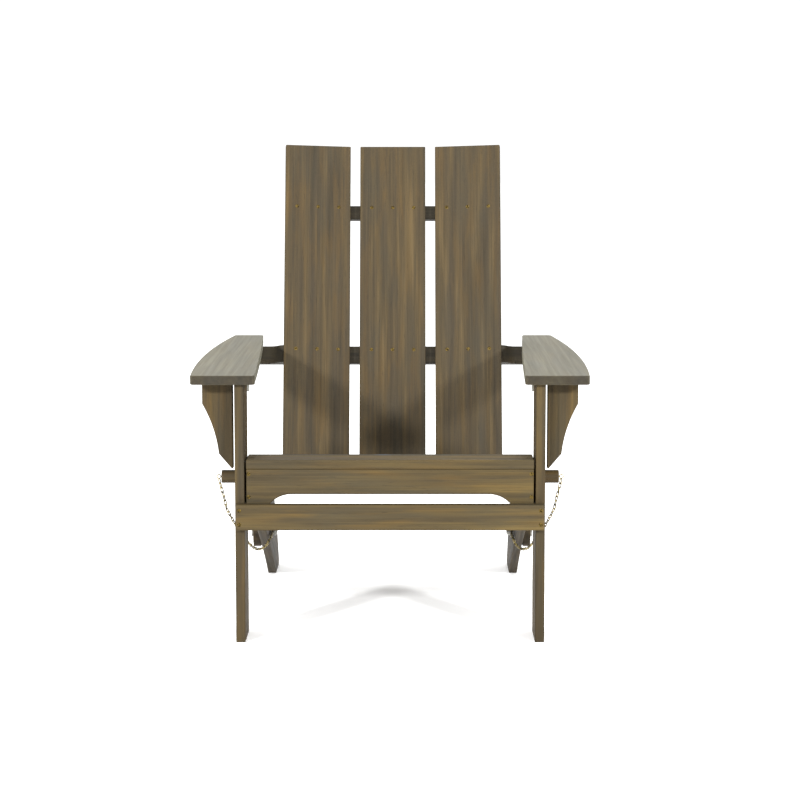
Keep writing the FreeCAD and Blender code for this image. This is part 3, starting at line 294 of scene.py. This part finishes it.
# Yellow-passivated zinc screws: small dull straw-coloured glints, with the tone kept dark and near black
# in blotches as painted shade of the sinkings they sit in
screw_zinc_painted_shade = plated_metal("yellow_zinc_plate_painted_shade", "#66552c", "#1d1911", 0.45, 2)
dress([name for name in nodes if name.endswith("screws")], screw_zinc_painted_shade)

# Clear zinc on stamped hinges, angle brackets, bolts and washers: soft grey with dull bloom
clear_zinc = plated_metal("clear_zinc_plate", "#9b9a94", "#62625d", 0.35, 9)
dress([name for name in nodes if "hinge_leaves" in name or "hinge_pins" in name], clear_zinc)
dress([name for name in nodes if name.startswith("pivot_")], clear_zinc)
dress(["corbel_bracket_left", "corbel_bracket_right"], clear_zinc)

# Brass-plated wire on chains, rings and screw eyes: warm, bright on the high spots, brown in the turns
brass = plated_metal("brass_plated_wire", "#a89763", "#2b2616", 0.3, 8)
dress(["pin_eye_left", "pin_eye_right", "chain_end_ring_left", "chain_end_ring_right"], brass)


# Chains: each hangs from its lock pin's eye, turns in behind the leg and ends on its pivot bolt

LINK_PITCH = 9.5 * MM
LINK_WIDE = 6.6 * MM
LINK_WIRE = 2 * MM
BEND_STEPS = 6  # straight steps in a link's half round
WIRE_SIDES = 8

# Places that the right-hand chain hangs through, from its screw eye to its pivot bolt
RIGHT_CHAIN = [
    (0.3269, -0.362, 0.308), (0.3238, -0.357, 0.290), (0.3182, -0.350, 0.268), (0.316, -0.343, 0.249),
    (0.309, -0.328, 0.230), (0.3015, -0.309, 0.210), (0.292, -0.281, 0.185), (0.2805, -0.250, 0.162),
    (0.2735, -0.219, 0.146), (0.266, -0.184, 0.135), (0.259, -0.144, 0.1295), (0.253, -0.102, 0.130),
    (0.250, -0.058, 0.1335), (0.2496, -0.013, 0.132), (0.251, 0.0299, 0.128),
]


def hanging_line(name, points):
    """Points along the smooth line that hangs through a route's control points."""
    curve = bpy.data.curves.new(name, "CURVE")
    curve.dimensions = "3D"
    spline = curve.splines.new("NURBS")
    spline.points.add(len(points) - 1)
    for point, place in zip(spline.points, points):
        point.co = (*place, 1)
    spline.order_u = 3
    spline.use_endpoint_u = True
    spline.resolution_u = 16
    line = bpy.data.objects.new(name, curve)
    bpy.context.scene.collection.objects.link(line)
    bpy.context.view_layer.update()
    mesh = bpy.data.meshes.new_from_object(line)
    places = [vertex.co.copy() for vertex in mesh.vertices]
    bpy.data.meshes.remove(mesh)
    bpy.data.objects.remove(line)
    bpy.data.curves.remove(curve)
    return places


def link_rings():
    """Rings of points round a link's wire, in order, for a link lying along X and flat in XY."""
    bend = (LINK_WIDE - LINK_WIRE) / 2
    straight = (LINK_PITCH + LINK_WIRE) / 2 - bend
    rings = []
    for end in (1, -1):
        for step in range(BEND_STEPS + 1):
            angle = math.radians(-90 + 180 / BEND_STEPS * step)
            out = Vector((end * math.cos(angle), end * math.sin(angle), 0))
            middle = Vector((end * straight, 0, 0)) + out * bend
            ring = []
            for corner in range(WIRE_SIDES):
                around = math.radians(360 / WIRE_SIDES * corner)
                spoke = out * math.cos(around) + Vector((0, 0, math.sin(around)))
                ring.append(middle + spoke * LINK_WIRE / 2)
            rings.append(ring)
    return rings


def hang_chain(name, points, node):
    """A chain of welded wire links along a route, each link a quarter turn round from the last."""
    line = hanging_line(name + "_route", points)
    reach = [0]
    for here, there in zip(line, line[1:]):
        reach.append(reach[-1] + (there - here).length)
    count = round(reach[-1] / LINK_PITCH)
    rings = link_rings()
    mesh = bmesh.new()
    side = Vector((0, 0, 1))
    for number in range(count):
        target = reach[-1] * (number + 0.5) / count
        after = next(place for place, distance in enumerate(reach) if distance >= target)
        share = (target - reach[after - 1]) / (reach[after] - reach[after - 1])
        middle = line[after - 1].lerp(line[after], share)
        ahead = (line[after] - line[after - 1]).normalized()
        side = (side - ahead * side.dot(ahead)).normalized()
        across = ahead.cross(side)
        # A slack chain twists a little from link to link
        turn = math.radians(90 * (number % 2) + 20 * math.sin(0.9 * number))
        flat = side * math.cos(turn) + across * math.sin(turn)
        place = Matrix((ahead, flat, ahead.cross(flat))).transposed()
        wire = [[mesh.verts.new(middle + place @ corner) for corner in ring] for ring in rings]
        for ring, following in zip(wire, wire[1:] + wire[:1]):
            for corner in range(WIRE_SIDES):
                beside = (corner + 1) % WIRE_SIDES
                face = mesh.faces.new((ring[corner], following[corner], following[beside], ring[beside]))
                face.smooth = True
    bmesh.ops.recalc_face_normals(mesh, faces=mesh.faces)
    data = bpy.data.meshes.new(name)
    mesh.to_mesh(data)
    mesh.free()
    chain = bpy.data.objects.new(name, data)
    bpy.context.scene.collection.objects.link(chain)
    data.materials.append(brass)
    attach(chain, "seat")
    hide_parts(node)


hang_chain("link_chain_right", RIGHT_CHAIN, "chain_right")
hang_chain("link_chain_left", [(-x, y, z) for x, y, z in RIGHT_CHAIN], "chain_left")


# Studio

def lay_floor():
    """A plain pale floor under the feet."""
    mesh = bmesh.new()
    bmesh.ops.create_grid(mesh, x_segments=4, y_segments=4, size=30)
    data = bpy.data.meshes.new("studio_floor")
    mesh.to_mesh(data)
    mesh.free()
    floor = bpy.data.objects.new("studio_floor", data)
    # Just below the feet, so that the two faces don't meet
    floor.location.z = cad_box[0][2] - 0.2 * MM
    bpy.context.scene.collection.objects.link(floor)
    data.materials.append(matt_floor("white_acrylic_floor"))


def hang_light(name, place, target, size, power):
    """A soft square light of that many metres and watts, facing a target."""
    lamp = bpy.data.lights.new(name, "AREA")
    lamp.size = size
    lamp.energy = power
    light = bpy.data.objects.new(name, lamp)
    light.location = place
    light.rotation_euler = (Vector(target) - Vector(place)).to_track_quat("-Z", "Y").to_euler()
    bpy.context.scene.collection.objects.link(light)


lay_floor()

# Two even lights from the front cross behind the seat; the others lift the top and the rear
seat_middle = (0, 0.1, 0.5)
hang_light("left_softbox", (-3.3, -4.85, 2.4), seat_middle, 0.45, 440)
hang_light("right_softbox", (3.3, -4.85, 2.4), seat_middle, 0.45, 400)
hang_light("overhead_softbox", (0, 0.3, 3.4), seat_middle, 2.2, 60)
hang_light("rear_softbox", (0, 3.4, 4.0), seat_middle, 2.0, 60)

world = bpy.data.worlds.new("white_cove")
world.use_nodes = True
cove = world.node_tree.nodes["Background"]
cove.inputs["Color"].default_value = linear("#ffffff")
cove.inputs["Strength"].default_value = 1.1
bpy.context.scene.world = world
bpy.context.scene.view_settings.view_transform = "Standard"

lens = bpy.data.cameras.new("front_view")
lens.sensor_width = 36
lens.lens = 96.44
lens.shift_x = -0.01
lens.shift_y = -0.0435
camera = bpy.data.objects.new("front_view", lens)
camera.location = (0.0339, cad_box[0][1] - 3.982, 0.9878)
camera.rotation_euler = Euler((math.radians(83.5), 0, 0))
bpy.context.scene.collection.objects.link(camera)
bpy.context.scene.camera = camera
